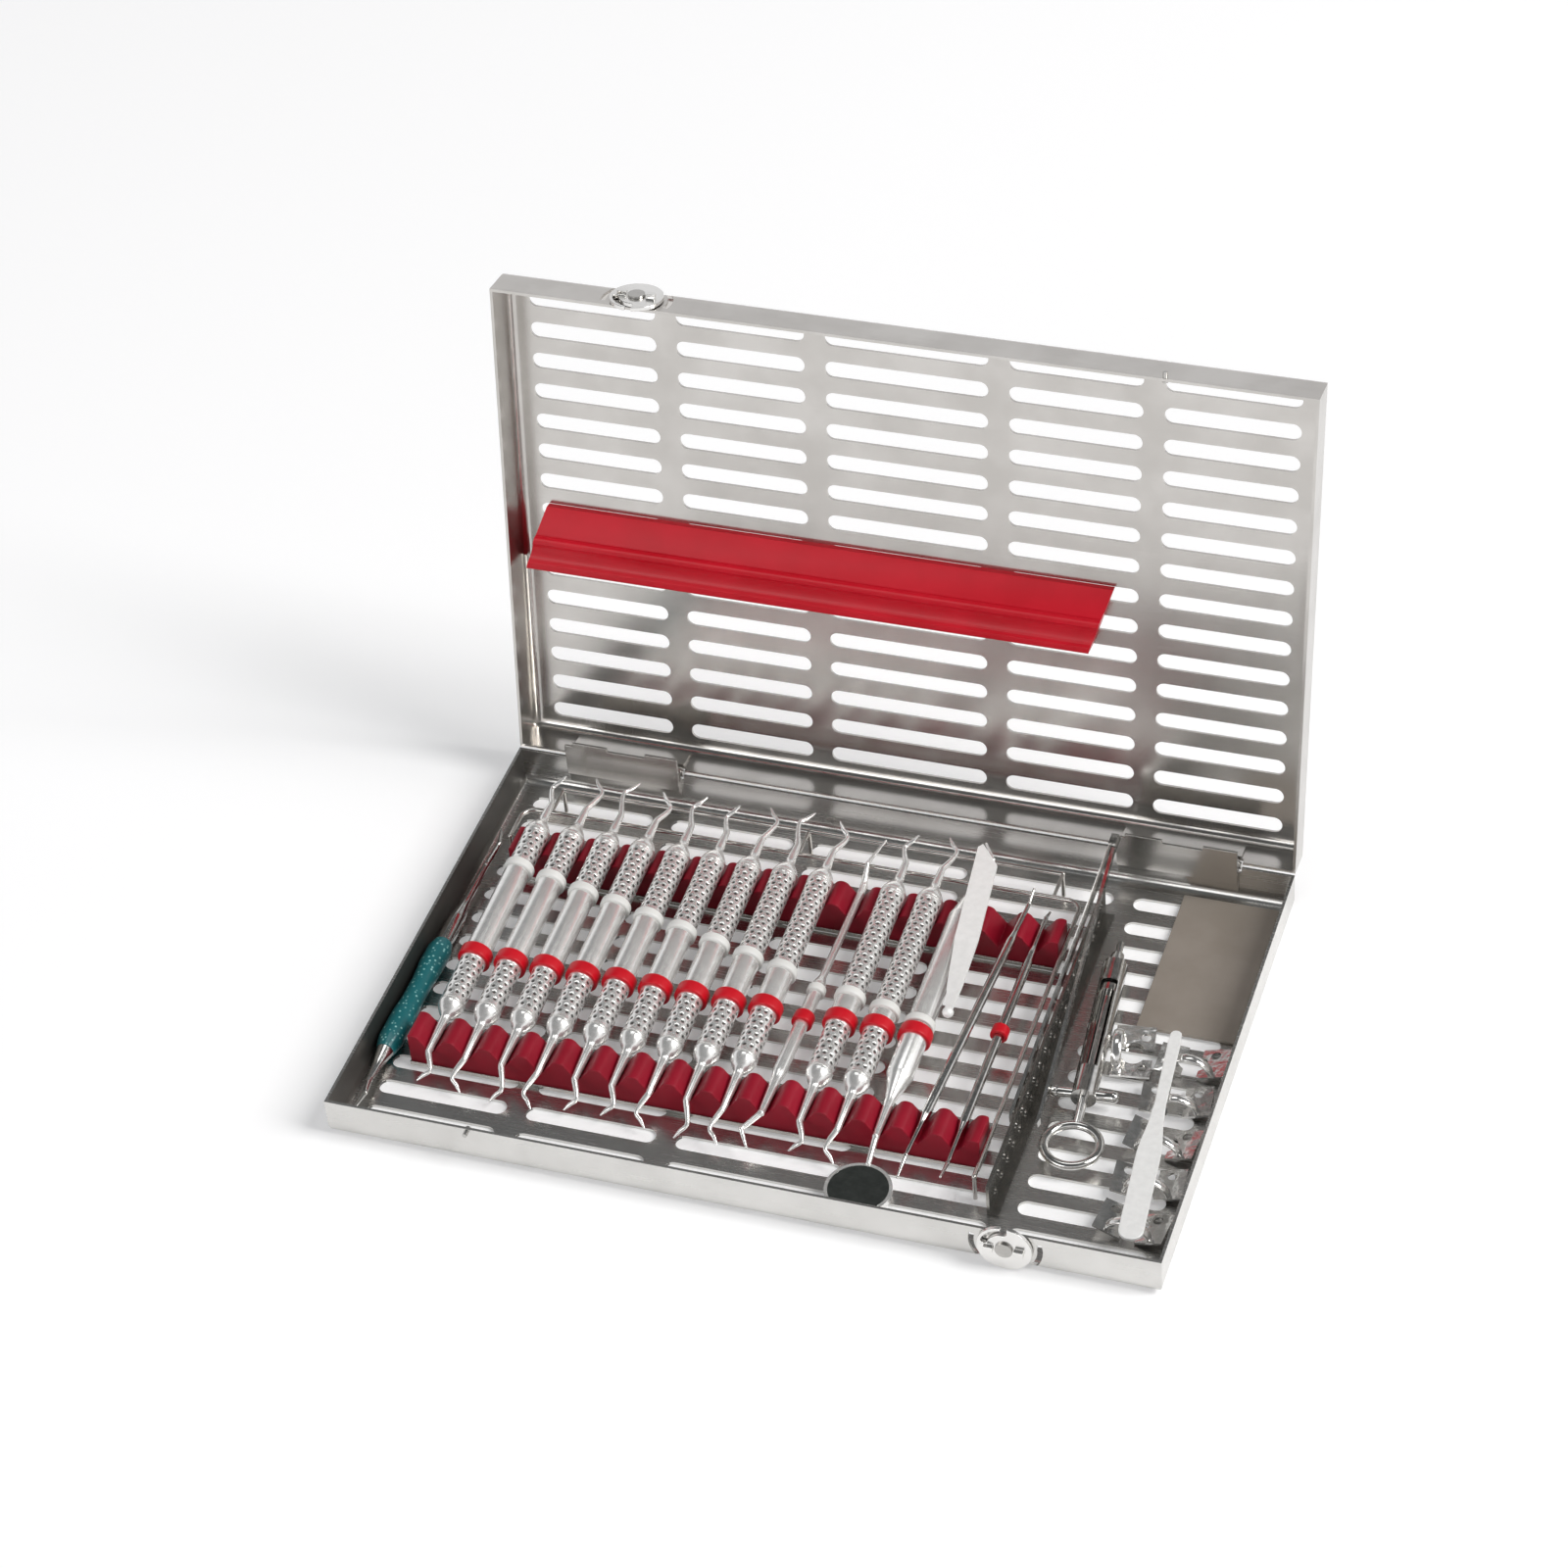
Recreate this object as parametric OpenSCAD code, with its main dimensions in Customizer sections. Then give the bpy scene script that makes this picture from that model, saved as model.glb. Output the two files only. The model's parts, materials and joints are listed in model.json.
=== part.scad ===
// Dental instrument cassette: perforated steel tray and hinged lid, loaded with its instruments.
// Millimetres. X runs along the hinge, +Y points to the hinge, +Z up.
// The origin is the centre of the tray's underside. The lid is drawn open.

/* [Case] */
// Length along the hinge
case_l = 280; // [276:1:284]
// Depth from front wall to rear wall
case_d = 180; // [178:1:184]
// Height of the tray, and of the lid
half_h = 15; // [15:0.5:16]
// Sheet thickness
sheet_t = 1; // [0.8:0.1:1.1]
// Radius of the bottom bend
edge_r = 4; // [3:0.5:4.5]
// Opening angle of the lid
lid_open = 98.7; // [0:0.1:105]

/* [Perforation] */
// Length of the slots in the middle column
slot_mid_l = 56; // [50:1:60]
// Length of the slots in the other four columns
slot_side_l = 45; // [40:1:46]
// Solid rib between two columns
rib_w = 7; // [6:0.5:7]
// Slot height in the tray
tray_slot_h = 6; // [4:0.5:7]
// Slot height in the lid
lid_slot_h = 5.8; // [4:0.2:6]
// Slot rows in the tray
tray_rows = 14; // [10:2:14]
// Slot rows in the lid
lid_rows = 15; // [11:2:15]

/* [Hinges and latches] */
// Distance of each hinge and latch from the middle
fitting_x = 100; // [95:1:102]
// Distance of each latch from the middle
latch_x = 90; // [86:1:94]
// Width of one hinge
hinge_w = 42; // [36:1:44]
// Radius of the hinge barrel
barrel_r = 1.9; // [1.8:0.05:2]
// Radius of the hinge pin
pin_r = 0.9; // [0.8:0.05:1]
// Radius of the turning latch disc
latch_r = 9; // [8.6:0.1:9.1]

/* [Silicone rails] */
// Distance between two instruments
pitch = 12.9; // [12.7:0.1:13]
// Centre of the first instrument, along X
first_x = -117.5; // [-118:0.5:-117]
// Number of notches
notches = 15; // [13:1:15]
// Thickness of a rail, along Y
rail_w = 12; // [10:0.5:12]
// Top of the rail's rounded teeth
rail_top = 14; // [13.9:0.1:14.1]
// Half angle of each notch
notch_half_angle = 38; // [37:1:39]
// Lowest point of each notch
notch_z = 7.5; // [7:0.1:7.6]

/* [Hold-down bar] */
// How far the bar stands off the lid
bar_h = 8.8; // [7:0.1:8.9]
// Middle of the bar, measured from the hinge
bar_from_hinge = 81; // [80:0.5:83]

/* [Instruments] */
// Radius of the steel handles
grip_r = 4.5; // [4.2:0.1:4.5]
// Radius of the slender handle
slim_r = 2.4; // [2.2:0.1:2.8]
// Outer radius of the red rings
ring_r = 5.7; // [5.2:0.1:5.9]
// Outer radius of the pale rings
pale_r = 5.3; // [5:0.1:5.3]
// Where the red rings sit, along Y
ring_y = -12; // [-14:0.5:-11]
// Radius of the mouth mirror
mirror_r = 11; // [10:0.5:11.5]

/* [Hidden] */
$fn = 48;

// Clearances
half_gap = 0.3;
soft_gap = 0.3;
turn_gap = 0.03;
ball_factor = 1.12;
past = 1;

// Case
floor_z = sheet_t;
rim_z = half_h - half_gap / 2;
case_h = 2 * half_h;
wall_in_x = case_l / 2 - sheet_t;
wall_in_y = case_d / 2 - sheet_t;
panel_half_x = case_l / 2 - 5;
panel_half_y = case_d / 2 - 5;
slot_margin = 1;
tray_slot_pitch = 2 * (panel_half_y - 3 - tray_slot_h / 2 - slot_margin) / (tray_rows - 1);
lid_slot_pitch = 2 * (panel_half_y - lid_slot_h / 2 - slot_margin) / (lid_rows - 1);
column_x = [
    -slot_mid_l / 2 - 2 * rib_w - 1.5 * slot_side_l,
    -slot_mid_l / 2 - rib_w - 0.5 * slot_side_l,
    0,
    slot_mid_l / 2 + rib_w + 0.5 * slot_side_l,
    slot_mid_l / 2 + 2 * rib_w + 1.5 * slot_side_l
];

// Hinges
hinge_y = case_d / 2 + 0.2;
hinge_z = half_h;
knuckles = 5;
knuckle_gap = 0.3;
knuckle_w = (hinge_w - (knuckles - 1) * knuckle_gap) / knuckles;
leaf_t = 0.9;
leaf_reach = 10.5;
leaf_step = 2.3;
guard_gap = 0.7;
guard_t = 1;
guard_z0 = 9.5;
guard_z1 = 22.5;
guard_block_h = 1.5;
guard_blocks = [[-18, 13], [9, 12]];
hinge_slot_depth = 2.4;
pin_head_r = 1.3;
pin_head_t = 0.6;

// Latches
latch_pivot_z = 9.2;
latch_t = 1.4;
latch_off = 0.3;
catch_r = 0.8;
catch_dist = 6.9;
catch_gap = 0.25;
catch_head_r = 1;
catch_proud = 0.5;
catch_z = case_h - latch_pivot_z - catch_dist;
latch_turn = 70;
pivot_r = 1.5;
pivot_head_r = 2.9;
pivot_head_t = 0.8;
finger_from = pivot_head_r + 0.5;
finger_to = 6.5;
finger_w = 2.2;
finger_t = 1.5;
arc_r = 11.2;
arc_w = 1.8;
arc_from = -35;
arc_to = 15;
wall_y = -case_d / 2;

// Rails
rail_end = 1.6;
rail_x0 = slot_x(-0.5) - rail_end;
rail_x1 = slot_x(notches - 0.5) + rail_end;
rail_l = rail_x1 - rail_x0;
front_rail_y = -48;
rear_rail_y = 46;
channel_t = 0.8;
channel_h = 0.8;
rail_z0 = floor_z + channel_t;
tooth_apex_z = notch_z + pitch / 2 / tan(notch_half_angle);
tooth_r = (tooth_apex_z - rail_top) * sin(notch_half_angle) / (1 - sin(notch_half_angle));
crown_z = rail_top - tooth_r * (1 - sin(notch_half_angle));
crown_r = 1.06 * tooth_r;

// Wire rack
wire_r = 0.8;
wire_z = 11;
wire_bend = 5;
rack_x0 = -128.6;
rack_x1 = 73;
rack_y0 = -66;
rack_y1 = 64;
rack_back_y = 76;

// Divider and plate
divider_x = 78.5;
divider_y0 = -72;
divider_y1 = 70;
divider_top = 14;
divider_foot = 3;
hole_r = 1.7;
hole_pitch = 7;
plate_x0 = 103;
plate_x1 = 136;
plate_y0 = 20;
plate_y1 = 85;
plate_t = 1.2;

// Hold-down bar, in the closed lid
bar_y = hinge_y - bar_from_hinge;
bar_half_w = 12;
bar_x0 = -129;
bar_x1 = 72;
bar_slant = 7.2;
bar_rivet_r = 1.2;
bar_rivet_depth = 4;
bar_rivet_head_r = 3;
bar_rivet_head_t = 0.6;
ridge_r = 1.6;
ridge_at = -1.5;
lip_r = 1.3;
lip_inset = 2.4;
lip_drop = 0.5;
valley_r = 6.2;
valley_depth = 1.8;
bar_back_h = 2.4;
back_r = 11.2;
bar_rivet_x = [
    -slot_mid_l / 2 - 1.5 * rib_w - slot_side_l,
    -slot_mid_l / 2 - rib_w / 2,
    slot_mid_l / 2 + rib_w / 2
];

// Instrument handles: the front cone starts at the front rail's rear face
cone_front_y = front_rail_y + rail_w / 2;
cone_rear_y = 55;
handle_l = cone_rear_y - cone_front_y;
cone_l = 11;
neck_r = 1.7;
shank_r = 1.1;
elbow_r = 0.75;
tip_r = 0.4;
front_bow = 2.4;
rear_bow = 2.6;
tip_cross = 1.3;
front_drop = 4.5;
front_reach = 9;
rear_reach = 12;
rail_step_y = rear_rail_y - rail_w / 2 - cone_front_y;
front_z = seat_z(neck_r);
ring_w = 4.5;
pale_w = 3;
pale_first_y = 30;
pale_step_y = 3.1;
slim_index = 9;
slim_l = 47;
slim_shank_r = 1.3;
slim_elbow = [-4.6, 1.6, -7];
slim_hook = [3, 3, -4.5];
slim_raise = [-0.8, -3.7, 7.4];
slim_rear = [1.4, -2.7, 21];
tip_shapes = 5;
mirror_index = 12;
front_run = 14;
rear_run = 8;
mirror_y = -76;
mirror_z = 5.2;
mirror_t = 2.2;
glass_t = 0.5;
glass_margin = 1.1;

// Height at which a round bar of radius r sits in a notch
function seat_z(r) = notch_z + (r + soft_gap) / sin(notch_half_angle);
function rise(r) = (seat_z(r) - front_z) / rail_step_y;
function slot_x(k) = first_x + k * pitch;
function pale_y(k) = pale_first_y - pale_step_y * k;
function handle_r(k) = k == slim_index ? slim_r : grip_r;
function rear_rest_r(k) = k == slim_index ? slim_shank_r : grip_r;

module along_y(angle = 0) {
    rotate([-90 + angle, 0, 0]) children();
}

module swing_lid() {
    translate([0, hinge_y, hinge_z]) rotate([-lid_open, 0, 0])
        translate([0, -hinge_y, -hinge_z]) children();
}

module lid_side() {
    translate([0, 0, case_h]) mirror([0, 0, 1]) children();
}

module both_sides(x) {
    for (side = [-1, 1]) translate([side * x, 0, 0]) children();
}

// Round bar from point a to point b
module bar_between(a, b, ra, rb) {
    d = b - a;
    translate(a) rotate([0, acos(d[2] / norm(d)), atan2(d[1], d[0])])
        cylinder(h = norm(d), r1 = ra, r2 = rb);
}

// Round bar through a list of points, with a ball a little thicker than the bar at each point
module bent_bar(points, radii) {
    for (i = [0 : len(points) - 2]) bar_between(points[i], points[i + 1], radii[i], radii[i + 1]);
    for (i = [0 : len(points) - 1]) translate(points[i]) sphere(r = radii[i] * ball_factor);
}

// Case shells

// Outline of the pan with its two bottom bends, seen along one of its walls
module pan_outline(half, inset) {
    side_x = half - edge_r;
    translate([-side_x, inset]) square([2 * side_x, edge_r - inset]);
    for (side = [0, 1]) mirror([side, 0]) intersection() {
        translate([side_x, edge_r]) circle(r = edge_r - inset);
        translate([side_x, 0]) square([edge_r, edge_r]);
    }
    translate([inset - half, edge_r]) square([2 * (half - inset), rim_z - edge_r + inset]);
}

// Solid pan, mitred at its corners; inset makes the hollow, which is open at the top
module pan_block(inset) {
    intersection() {
        rotate([90, 0, 0]) translate([0, 0, inset - case_d / 2])
            linear_extrude(case_d - 2 * inset) pan_outline(case_l / 2, inset);
        rotate([90, 0, 90]) translate([0, 0, inset - case_l / 2])
            linear_extrude(case_l - 2 * inset) pan_outline(case_d / 2, inset);
    }
}

module hinge_cutouts() {
    cut_w = hinge_w + 2 * (pin_head_t + knuckle_gap);
    both_sides(fitting_x) translate([-cut_w / 2, wall_in_y - past, half_h - hinge_slot_depth])
        cube([cut_w, 2 * past + sheet_t, hinge_slot_depth + past]);
}

module wall_bore(x, z, r) {
    translate([x, -wall_in_y + past, z]) rotate([90, 0, 0]) cylinder(h = sheet_t + 2 * past, r = r);
}

module latch_arcs(x) {
    for (side = [0, 1]) {
        translate([x, -wall_in_y + past, latch_pivot_z]) mirror([side, 0, 0]) rotate([90, 0, 0])
            rotate([0, 0, arc_from]) rotate_extrude(angle = arc_to - arc_from)
                translate([arc_r - arc_w / 2, 0]) square([arc_w, sheet_t + 2 * past]);
    }
}

// One half of the case: side is 1 for the tray, -1 for the lid
module pan_shell(side) {
    difference() {
        pan_block(0);
        pan_block(sheet_t);
        translate([-panel_half_x, -panel_half_y, -past])
            cube([2 * panel_half_x, 2 * panel_half_y, sheet_t + 2 * past]);
        hinge_cutouts();
        latch_arcs(side * latch_x);
        wall_bore(side * latch_x, latch_pivot_z, pivot_r);
        wall_bore(-side * latch_x, catch_z, catch_r);
    }
}

module slot(length, height) {
    run = length - height;
    linear_extrude(sheet_t + 2 * past) {
        square([run, height], center = true);
        for (side = [-1, 1]) translate([side * run / 2, 0]) circle(r = height / 2);
    }
}

module grille(rows, row_pitch, slot_h) {
    difference() {
        translate([-panel_half_x, -panel_half_y, 0]) cube([2 * panel_half_x, 2 * panel_half_y, sheet_t]);
        for (column = [0 : len(column_x) - 1]) for (row = [0 : rows - 1]) {
            translate([column_x[column], (row - (rows - 1) / 2) * row_pitch, -past])
                slot(column == 2 ? slot_mid_l : slot_side_l, slot_h);
        }
    }
}

module tray_shell() {
    color("gainsboro") pan_shell(1);
}

module tray_grille() {
    color("gainsboro") grille(tray_rows, tray_slot_pitch, tray_slot_h);
}

module lid_shell() {
    color("gainsboro") swing_lid() lid_side() pan_shell(-1);
}

module lid_grille() {
    color("gainsboro") swing_lid() lid_side() difference() {
        grille(lid_rows, lid_slot_pitch, lid_slot_h);
        for (x = bar_rivet_x) translate([x, bar_y, -past])
            cylinder(h = sheet_t + 2 * past, r = bar_rivet_r);
    }
}

// Hinges

module knuckle(i, bore) {
    x0 = -hinge_w / 2 + i * (knuckle_w + knuckle_gap);
    difference() {
        union() {
            translate([x0, hinge_y, hinge_z]) rotate([0, 90, 0]) cylinder(h = knuckle_w, r = barrel_r);
            translate([x0, wall_in_y - leaf_t, hinge_z - barrel_r])
                cube([knuckle_w, hinge_y - wall_in_y + leaf_t, leaf_t]);
            translate([x0, wall_in_y - leaf_t, hinge_z - leaf_step - past])
                cube([knuckle_w, leaf_t, leaf_step + past - barrel_r + leaf_t]);
        }
        translate([x0 - past, hinge_y, hinge_z]) rotate([0, 90, 0])
            cylinder(h = knuckle_w + 2 * past, r = bore);
    }
}

module hinge_leaf(first, bore) {
    translate([-hinge_w / 2, wall_in_y - leaf_t, hinge_z - leaf_reach])
        cube([hinge_w, leaf_t, leaf_reach - leaf_step]);
    for (i = [first : 2 : knuckles - 1]) knuckle(i, bore);
}

// Plate that covers the knuckles from inside, with two raised blocks on its top edge
module hinge_guard() {
    guard_y = wall_in_y - leaf_t - guard_gap - guard_t;
    translate([-hinge_w / 2, guard_y, guard_z0]) {
        cube([hinge_w, guard_t, guard_z1 - guard_z0]);
        cube([hinge_w, guard_t + guard_gap + leaf_t, hinge_z - leaf_step - guard_z0]);
    }
    for (block = guard_blocks) translate([block[0], guard_y, guard_z1 - past])
        cube([block[1], guard_t, guard_block_h + past]);
}

module tray_hinge_leaves() {
    color("silver") both_sides(fitting_x) {
        hinge_leaf(0, pin_r);
        hinge_guard();
    }
}

module lid_hinge_leaves() {
    color("silver") swing_lid() lid_side() both_sides(fitting_x) hinge_leaf(1, pin_r + turn_gap);
}

module hinge_pins() {
    color("dimgray") both_sides(fitting_x) translate([-hinge_w / 2, hinge_y, hinge_z]) rotate([0, 90, 0]) {
        cylinder(h = hinge_w, r = pin_r);
        translate([0, 0, -pin_head_t]) cylinder(h = pin_head_t, r = pin_head_r);
        translate([0, 0, hinge_w]) cylinder(h = pin_head_t, r = pin_head_r);
    }
}

// Latches: a disc that turns on the front wall; its hooked slot takes a catch on the other half

module latch_slot() {
    half = catch_r + catch_gap;
    translate([-half, -catch_dist - latch_r, -past]) cube([2 * half, latch_r, latch_t + 2 * past]);
    translate([0, -catch_dist, -past]) cylinder(h = latch_t + 2 * past, r = half);
    rotate([0, 0, -90 - latch_turn]) rotate_extrude(angle = latch_turn)
        translate([catch_dist - half, -past]) square([2 * half, latch_t + 2 * past]);
    rotate([0, 0, -90 - latch_turn]) translate([catch_dist, 0, -past])
        cylinder(h = latch_t + 2 * past, r = half);
}

module latch_disc() {
    difference() {
        union() {
            cylinder(h = latch_t, r = latch_r);
            both_sides((finger_from + finger_to) / 2) translate([0, 0, latch_t + finger_t / 2])
                cube([finger_to - finger_from, finger_w, finger_t], center = true);
        }
        translate([0, 0, -past]) cylinder(h = latch_t + 2 * past, r = pivot_r + turn_gap);
        latch_slot();
    }
}

module place_latch(x) {
    translate([x, wall_y - latch_off, latch_pivot_z]) rotate([90, 0, 0]) mirror([0, 1, 0]) latch_disc();
}

module latch_pivot(x) {
    translate([x, -wall_in_y, latch_pivot_z]) rotate([90, 0, 0]) {
        reach = sheet_t + latch_off + latch_t + turn_gap;
        cylinder(h = reach, r = pivot_r);
        translate([0, 0, reach]) cylinder(h = pivot_head_t, r = pivot_head_r);
        translate([0, 0, -pivot_head_t]) cylinder(h = pivot_head_t, r = pivot_head_r);
    }
}

module latch_catch(x) {
    translate([x, -wall_in_y, catch_z]) rotate([90, 0, 0]) {
        cylinder(h = sheet_t + latch_off + latch_t + catch_proud, r = catch_r);
        translate([0, 0, -pin_head_t]) cylinder(h = pin_head_t, r = catch_head_r);
    }
}

module tray_latch() {
    color("lightgray") place_latch(latch_x);
}

module lid_latch() {
    color("lightgray") swing_lid() lid_side() place_latch(-latch_x);
}

module tray_rivets() {
    color("gray") {
        latch_pivot(latch_x);
        latch_catch(-latch_x);
    }
}

module bar_rivet(x) {
    translate([x, bar_y, -bar_rivet_head_t]) {
        cylinder(h = bar_rivet_head_t, r = bar_rivet_head_r);
        cylinder(h = bar_rivet_head_t + sheet_t + bar_rivet_depth, r = bar_rivet_r);
    }
}

module lid_rivets() {
    color("gray") swing_lid() lid_side() {
        latch_pivot(-latch_x);
        latch_catch(latch_x);
        for (x = bar_rivet_x) bar_rivet(x);
    }
}

// Silicone rails and hold-down bar

// Zigzag of flat-topped teeth; a crown a little wider than the flats rounds each one
module rail_outline() {
    flank_x = (crown_z - notch_z) * tan(notch_half_angle);
    intersection() {
        translate([rail_x0, rail_z0]) square([rail_l, rail_top]);
        union() {
            polygon([
                [slot_x(-1), rail_z0 - past],
                for (k = [-1 : notches]) each [
                    [slot_x(k), notch_z], [slot_x(k) + flank_x, crown_z], [slot_x(k + 1) - flank_x, crown_z]
                ],
                [slot_x(notches + 1), rail_z0 - past]
            ]);
            for (k = [0 : notches]) translate([slot_x(k - 0.5), rail_top - crown_r]) circle(r = crown_r);
        }
    }
}

module rail(y) {
    color("firebrick") translate([0, y + rail_w / 2, 0]) rotate([90, 0, 0])
        linear_extrude(rail_w) rail_outline();
}

module front_rail() {
    rail(front_rail_y);
}

module rear_rail() {
    rail(rear_rail_y);
}

module rail_channels() {
    color("silver") for (y = [front_rail_y, rear_rail_y]) difference() {
        translate([rail_x0, y - rail_w / 2 - channel_t, floor_z])
            cube([rail_l, rail_w + 2 * channel_t, channel_t + channel_h]);
        translate([rail_x0 - past, y - rail_w / 2, rail_z0])
            cube([rail_l + 2 * past, rail_w, channel_h + past]);
    }
}

// Cross-section of the hold-down bar: a sloping back, a high ridge, a shallow valley and a lower lip
module bar_section() {
    lip_at = [bar_half_w - lip_inset, bar_h - lip_drop - lip_r];
    difference() {
        union() {
            polygon([
                [-bar_half_w, 0],
                [lip_at[0] + lip_r, 0],
                [lip_at[0] + lip_r, lip_at[1]],
                [lip_at[0], lip_at[1] + lip_r],
                [ridge_at, bar_h],
                [ridge_at - ridge_r, bar_h - ridge_r],
                [-bar_half_w, bar_back_h]
            ]);
            translate([ridge_at, bar_h - ridge_r]) circle(r = ridge_r);
            translate(lip_at) circle(r = lip_r);
        }
        translate([(ridge_at + lip_at[0]) / 2, bar_h + valley_r - valley_depth]) circle(r = valley_r);
        translate([-bar_half_w + bar_back_h, bar_h + back_r - ridge_r - bar_back_h / 2]) circle(r = back_r);
    }
}

// The ends are cut on a slant, so the edge beside the hinge lies a little further left
module hold_down_bar() {
    color("crimson") swing_lid() lid_side() difference() {
        intersection() {
            translate([bar_x0 - bar_slant, bar_y, sheet_t]) rotate([90, 0, 90])
                linear_extrude(bar_x1 - bar_x0 + bar_slant) bar_section();
            linear_extrude(case_h) polygon([
                [bar_x0, bar_y - bar_half_w], [bar_x1, bar_y - bar_half_w],
                [bar_x1 - bar_slant, bar_y + bar_half_w], [bar_x0 - bar_slant, bar_y + bar_half_w]
            ]);
        }
        for (x = bar_rivet_x) translate([x, bar_y, 0])
            cylinder(h = sheet_t + bar_rivet_depth, r = bar_rivet_r);
    }
}

// Fittings in the tray

module id_plate() {
    color("rosybrown") translate([plate_x0, plate_y0, floor_z])
        cube([plate_x1 - plate_x0, plate_y1 - plate_y0, plate_t]);
}

module divider_wall() {
    rows = [floor_z + 4.2, floor_z + 9.4];
    count = floor((divider_y1 - divider_y0) / hole_pitch) - 1;
    color("dimgray") difference() {
        translate([divider_x, divider_y0, floor_z]) {
            cube([sheet_t, divider_y1 - divider_y0, divider_top - floor_z]);
            cube([sheet_t + divider_foot, divider_y1 - divider_y0, sheet_t]);
        }
        for (row = [0, 1]) for (i = [1 : count]) {
            translate([divider_x - past, divider_y0 + (i + row / 2) * hole_pitch, rows[row]])
                rotate([0, 90, 0]) cylinder(h = sheet_t + 2 * past, r = hole_r, $fn = 24);
        }
    }
}

module wire_corner(x, y, turn) {
    translate([x, y, wire_z]) rotate([0, 0, turn]) rotate_extrude(angle = 90)
        translate([wire_bend, 0]) circle(r = wire_r, $fn = 24);
}

module wire_x(x0, x1, y) {
    translate([x0, y, wire_z]) rotate([0, 90, 0]) cylinder(h = x1 - x0, r = wire_r, $fn = 24);
}

module wire_y(x, y0, y1) {
    translate([x, y0, wire_z]) along_y() cylinder(h = y1 - y0, r = wire_r, $fn = 24);
}

// Leg down to the tray's floor, with a weld bead where it meets the wire
module wire_leg(x, y) {
    translate([x, y, wire_z]) sphere(r = wire_r * ball_factor, $fn = 24);
    translate([x, y, floor_z]) cylinder(h = wire_z - floor_z, r = wire_r * 0.9, $fn = 24);
}

// Short wire that ties the back wire to the loop
module wire_tie(x) {
    translate([x, rack_y1, wire_z]) along_y()
        cylinder(h = rack_back_y - rack_y1, r = wire_r * 0.8, $fn = 24);
}

module wire_rack() {
    color("silver") {
        wire_x(rack_x0 + wire_bend, rack_x1 - wire_bend, rack_y1);
        wire_corner(rack_x0 + wire_bend, rack_y1 - wire_bend, 90);
        wire_corner(rack_x1 - wire_bend, rack_y1 - wire_bend, 0);
        wire_y(rack_x0, rack_y1 - wire_bend - 10, rack_y1 - wire_bend);
        wire_y(rack_x1, rack_y0, rack_y1 - wire_bend);
        wire_leg(rack_x1, rack_y0);
        wire_leg(rack_x0, rack_y1 - wire_bend - 10);
        wire_x(rack_x0 + 2 * wire_bend, rack_x1 - 2 * wire_bend, rack_back_y);
        for (x = [rack_x0 + 2 * wire_bend, (rack_x0 + rack_x1) / 2, rack_x1 - 2 * wire_bend]) {
            wire_tie(x);
            wire_leg(x, rack_back_y);
        }
    }
}

// Instruments: drawn along Z with the front cone's tip at the origin, then laid in their notches

module lay_in_notch(k) {
    translate([slot_x(k), cone_front_y, front_z]) along_y(atan(rise(rear_rest_r(k)))) children();
}

// Handle and both straight shanks
module handle(r) {
    rotate_extrude() polygon([
        [0, -front_run], [shank_r, -front_run], [neck_r, 0], [neck_r, 1.5], [r - 0.5, cone_l],
        [r, cone_l + 1.5], [r, handle_l - cone_l - 1.5], [r - 0.5, handle_l - cone_l],
        [neck_r, handle_l - 1.5], [neck_r, handle_l], [shank_r, handle_l + rear_run],
        [0, handle_l + rear_run]
    ]);
}

// A tip bows out to the side given by hand, crosses back, and ends lower or higher than its shank
module front_tip(hand, drop, reach) {
    elbow = [hand * front_bow, drop * 0.45, -reach * 0.6];
    point = [-hand * tip_cross, drop, -reach];
    translate([0, 0, -front_run]) bent_bar([[0, 0, 0], elbow, point], [shank_r, elbow_r, tip_r]);
}

module rear_tip(hand, lift, reach) {
    elbow = [hand * rear_bow, -lift * 0.3, reach * 0.6];
    point = [-hand * tip_cross, lift, reach];
    translate([0, 0, handle_l + rear_run]) bent_bar([[0, 0, 0], elbow, point], [shank_r, elbow_r, tip_r]);
}

// The set repeats after five tip shapes
module scaler(k) {
    shape = k % tip_shapes;
    hand = shape % 2 == 0 ? 1 : -1;
    color("silver") lay_in_notch(k) {
        handle(grip_r);
        front_tip(hand, front_drop + shape % 3, front_reach + shape % 4);
        rear_tip(-hand, shape % 3 - 2, rear_reach + shape % 3 * 2);
    }
}

// Thin handle that ends behind the pale ring, and a long thin shank
module slim_handle() {
    rotate_extrude() polygon([
        [0, -front_run], [shank_r, -front_run], [neck_r, 0], [neck_r, 1.5], [slim_r, 5], [slim_r, slim_l],
        [slim_shank_r, slim_l + 4], [slim_shank_r, handle_l], [0, handle_l]
    ]);
}

module slim_explorer() {
    color("silver") lay_in_notch(slim_index) {
        slim_handle();
        translate([0, 0, -front_run]) bent_bar([[0, 0, 0], slim_elbow], [shank_r, elbow_r]);
        translate(slim_elbow - [0, 0, front_run]) bent_bar([[0, 0, 0], slim_hook], [elbow_r * 1.15, tip_r]);
        translate([0, 0, handle_l])
            bent_bar([[0, 0, 0], slim_raise, slim_rear], [slim_shank_r, elbow_r, tip_r]);
    }
}

module place_mirror_head() {
    lay_in_notch(mirror_index) {
        angle = atan(rise(grip_r));
        translate([0, front_z - mirror_z + (mirror_y - cone_front_y) * tan(angle), mirror_y - cone_front_y])
            rotate([90 - angle, 0, 0]) children();
    }
}

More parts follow.
